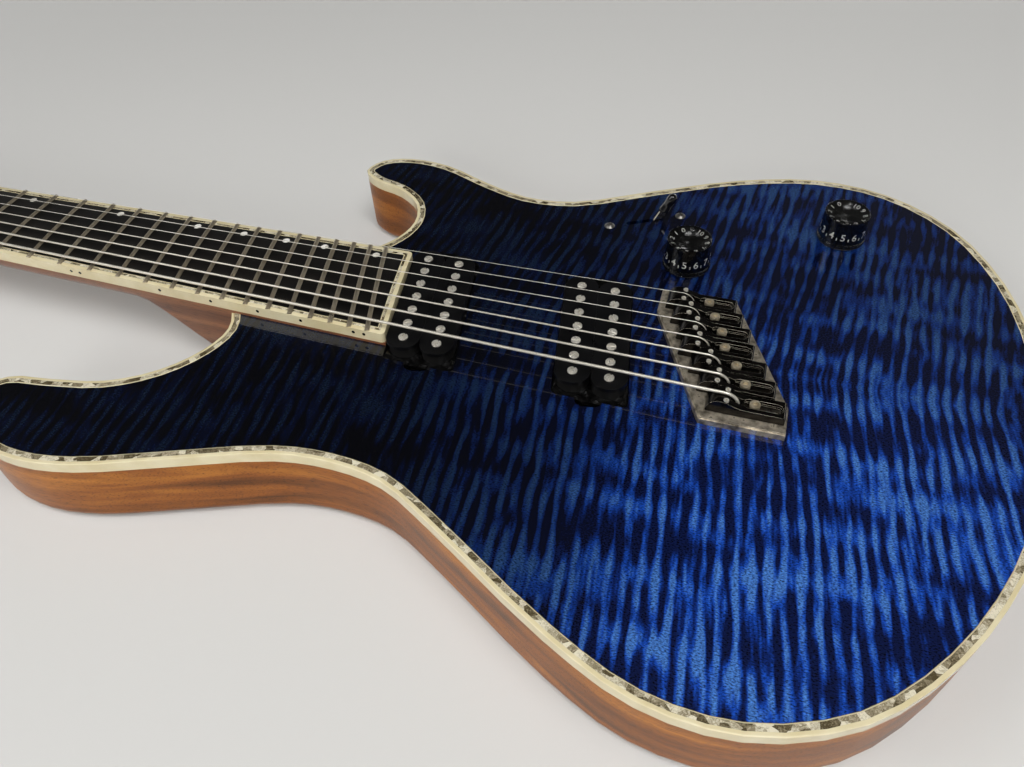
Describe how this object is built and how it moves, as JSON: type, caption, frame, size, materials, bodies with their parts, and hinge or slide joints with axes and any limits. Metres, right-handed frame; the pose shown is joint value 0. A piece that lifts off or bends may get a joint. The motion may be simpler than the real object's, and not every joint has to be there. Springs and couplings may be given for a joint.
{
  "type": "electric guitar",
  "caption": "Solid-body electric guitar with fanned frets, a neck running through the body, a slanted bridge of separate sliding saddles, turning tuners and knobs and a blade selector.",
  "frame": {"origin": "on the flat back, on the centre line, below the scale end of the first string", "axes": "+X from the headstock to the butt, +Y to the treble side, +Z out of the face"},
  "size_m": [1.0435, 0.3533, 0.0618],
  "materials": {
    "mahogany": "satin oiled",
    "maple_stripe": "satin oiled",
    "blue_flame": "high gloss see-through blue",
    "body_wood": "satin clear",
    "cream": "gloss",
    "pearl": "mottled pearl",
    "ebony": "bare, polished",
    "fret_wire": "polished",
    "dot_pearl": "pearl",
    "dot_black": "gloss",
    "bone": "polished",
    "steel": "plain",
    "black_plastic": "satin",
    "bobbin_black": "satin",
    "coil_tape": "taped winding",
    "nickel_silver": "plain",
    "magnet": "plain",
    "nickel": "polished",
    "black_nickel": "dark plated, satin",
    "string_steel": "wound and plain wire",
    "black_metal": "gloss black plating",
    "clear_knob": "clear acrylic over black",
    "black_gloss": "gloss",
    "screw_nickel": "polished",
    "wire_grey": "insulated",
    "saddle_dark": "dark plated"
  },
  "bodies": {
    "guitar": {"neck_core": "mahogany", "neck_stripes": "maple_stripe", "headstock": "mahogany", "headstock_veneer": "blue_flame", "body_wings": "body_wood", "maple_top": "blue_flame", "body_binding": "cream", "body_purfling": "pearl", "fingerboard": "ebony", "fingerboard_binding": "cream", "fingerboard_purfling": "pearl", "frets": "fret_wire", "face_dots": "dot_pearl", "side_dots": "dot_black", "nut": "bone", "truss_rod": "steel", "truss_rod_cover": "black_plastic", "neck_pickup_bobbins": "bobbin_black", "bridge_pickup_bobbins": "bobbin_black", "pickup_coils": "coil_tape", "pickup_baseplates": "nickel_silver", "pickup_magnets": "magnet", "pickup_poles": "nickel", "bridge_plate": "black_nickel", "saddle_lock_screws": "nickel", "strings": "string_steel", "string_ferrules": "black_nickel", "tuner_housings": "black_metal", "tuner_bushings": "black_metal", "selector_switch": "steel", "control_pots": "steel", "output_jack": "black_metal", "control_cover": "black_plastic", "strap_buttons": "black_metal", "screws": "screw_nickel", "wiring": "wire_grey"},
    "saddle_1": {"saddle_1": "saddle_dark"},
    "saddle_2": {"saddle_2": "saddle_dark"},
    "saddle_3": {"saddle_3": "saddle_dark"},
    "saddle_4": {"saddle_4": "saddle_dark"},
    "saddle_5": {"saddle_5": "saddle_dark"},
    "saddle_6": {"saddle_6": "saddle_dark"},
    "saddle_7": {"saddle_7": "saddle_dark"},
    "tuner_button_1": {"tuner_button_1": "black_metal"},
    "tuner_button_2": {"tuner_button_2": "black_metal"},
    "tuner_button_3": {"tuner_button_3": "black_metal"},
    "tuner_button_4": {"tuner_button_4": "black_metal"},
    "tuner_button_5": {"tuner_button_5": "black_metal"},
    "tuner_button_6": {"tuner_button_6": "black_metal"},
    "tuner_button_7": {"tuner_button_7": "black_metal"},
    "tuner_post_1": {"tuner_post_1": "nickel"},
    "tuner_post_2": {"tuner_post_2": "nickel"},
    "tuner_post_3": {"tuner_post_3": "nickel"},
    "tuner_post_4": {"tuner_post_4": "nickel"},
    "tuner_post_5": {"tuner_post_5": "nickel"},
    "tuner_post_6": {"tuner_post_6": "nickel"},
    "tuner_post_7": {"tuner_post_7": "nickel"},
    "volume_knob": {"volume_knob": "clear_knob"},
    "tone_knob": {"tone_knob": "clear_knob"},
    "selector_lever": {"selector_lever": "black_gloss"}
  },
  "joints": [
    {"name": "tuner_button_1_turn", "type": "hinge", "parent": "guitar", "child": "tuner_button_1", "pos_m": [-0.72172, 0.026, 0.02202], "axis": [0, 1, 0], "continuous": true},
    {"name": "tuner_post_1_turn", "type": "hinge", "parent": "guitar", "child": "tuner_post_1", "pos_m": [-0.71764, 0.026, 0.03965], "axis": [-0.1219, 0, 0.9925], "continuous": true},
    {"name": "tuner_button_2_turn", "type": "hinge", "parent": "guitar", "child": "tuner_button_2", "pos_m": [-0.75944, 0.022, 0.01739], "axis": [0, 1, 0], "continuous": true},
    {"name": "tuner_post_2_turn", "type": "hinge", "parent": "guitar", "child": "tuner_post_2", "pos_m": [-0.75536, 0.022, 0.03502], "axis": [-0.1219, 0, 0.9925], "continuous": true},
    {"name": "tuner_button_3_turn", "type": "hinge", "parent": "guitar", "child": "tuner_button_3", "pos_m": [-0.79716, 0.018, 0.01276], "axis": [0, 1, 0], "continuous": true},
    {"name": "tuner_post_3_turn", "type": "hinge", "parent": "guitar", "child": "tuner_post_3", "pos_m": [-0.79308, 0.018, 0.03039], "axis": [-0.1219, 0, 0.9925], "continuous": true},
    {"name": "tuner_button_4_turn", "type": "hinge", "parent": "guitar", "child": "tuner_button_4", "pos_m": [-0.80867, -0.014, 0.01135], "axis": [0, -1, 0], "continuous": true},
    {"name": "tuner_post_4_turn", "type": "hinge", "parent": "guitar", "child": "tuner_post_4", "pos_m": [-0.8169, -0.014, 0.02746], "axis": [-0.1219, 0, 0.9925], "continuous": true},
    {"name": "tuner_button_5_turn", "type": "hinge", "parent": "guitar", "child": "tuner_button_5", "pos_m": [-0.77095, -0.018, 0.01598], "axis": [0, -1, 0], "continuous": true},
    {"name": "tuner_post_5_turn", "type": "hinge", "parent": "guitar", "child": "tuner_post_5", "pos_m": [-0.77918, -0.018, 0.03209], "axis": [-0.1219, 0, 0.9925], "continuous": true},
    {"name": "tuner_button_6_turn", "type": "hinge", "parent": "guitar", "child": "tuner_button_6", "pos_m": [-0.73324, -0.022, 0.02061], "axis": [0, -1, 0], "continuous": true},
    {"name": "tuner_post_6_turn", "type": "hinge", "parent": "guitar", "child": "tuner_post_6", "pos_m": [-0.74146, -0.022, 0.03673], "axis": [-0.1219, 0, 0.9925], "continuous": true},
    {"name": "tuner_button_7_turn", "type": "hinge", "parent": "guitar", "child": "tuner_button_7", "pos_m": [-0.69552, -0.026, 0.02524], "axis": [0, -1, 0], "continuous": true},
    {"name": "tuner_post_7_turn", "type": "hinge", "parent": "guitar", "child": "tuner_post_7", "pos_m": [-0.70375, -0.026, 0.04136], "axis": [-0.1219, 0, 0.9925], "continuous": true},
    {"name": "saddle_1_slide", "type": "slide", "parent": "guitar", "child": "saddle_1", "axis": [1, 0, 0], "range_m": [-0.007, 0]},
    {"name": "saddle_2_slide", "type": "slide", "parent": "guitar", "child": "saddle_2", "axis": [1, 0, 0], "range_m": [-0.007, 0]},
    {"name": "saddle_3_slide", "type": "slide", "parent": "guitar", "child": "saddle_3", "axis": [1, 0, 0], "range_m": [-0.007, 0]},
    {"name": "saddle_4_slide", "type": "slide", "parent": "guitar", "child": "saddle_4", "axis": [1, 0, 0], "range_m": [-0.007, 0]},
    {"name": "saddle_5_slide", "type": "slide", "parent": "guitar", "child": "saddle_5", "axis": [1, 0, 0], "range_m": [-0.007, 0]},
    {"name": "saddle_6_slide", "type": "slide", "parent": "guitar", "child": "saddle_6", "axis": [1, 0, 0], "range_m": [-0.007, 0]},
    {"name": "saddle_7_slide", "type": "slide", "parent": "guitar", "child": "saddle_7", "axis": [1, 0, 0], "range_m": [-0.007, 0]},
    {"name": "volume_turn", "type": "hinge", "parent": "guitar", "child": "volume_knob", "pos_m": [0.001, 0.0715, 0.044], "axis": [0, 0, 1], "range_deg": [0, 300]},
    {"name": "tone_turn", "type": "hinge", "parent": "guitar", "child": "tone_knob", "pos_m": [0.0815, 0.118, 0.044], "axis": [0, 0, 1], "range_deg": [0, 300]},
    {"name": "selector_swing", "type": "hinge", "parent": "guitar", "child": "selector_lever", "pos_m": [-0.0285, 0.1058, 0.031], "axis": [-0.4633, 0.8862, 0], "range_deg": [-60, 0]}
  ],
  "couplings": [
    {"joint": "tuner_post_1_turn", "follows": "tuner_button_1_turn", "ratio": 0.071429},
    {"joint": "tuner_post_2_turn", "follows": "tuner_button_2_turn", "ratio": 0.071429},
    {"joint": "tuner_post_3_turn", "follows": "tuner_button_3_turn", "ratio": 0.071429},
    {"joint": "tuner_post_4_turn", "follows": "tuner_button_4_turn", "ratio": 0.071429},
    {"joint": "tuner_post_5_turn", "follows": "tuner_button_5_turn", "ratio": 0.071429},
    {"joint": "tuner_post_6_turn", "follows": "tuner_button_6_turn", "ratio": 0.071429},
    {"joint": "tuner_post_7_turn", "follows": "tuner_button_7_turn", "ratio": 0.071429}
  ]
}
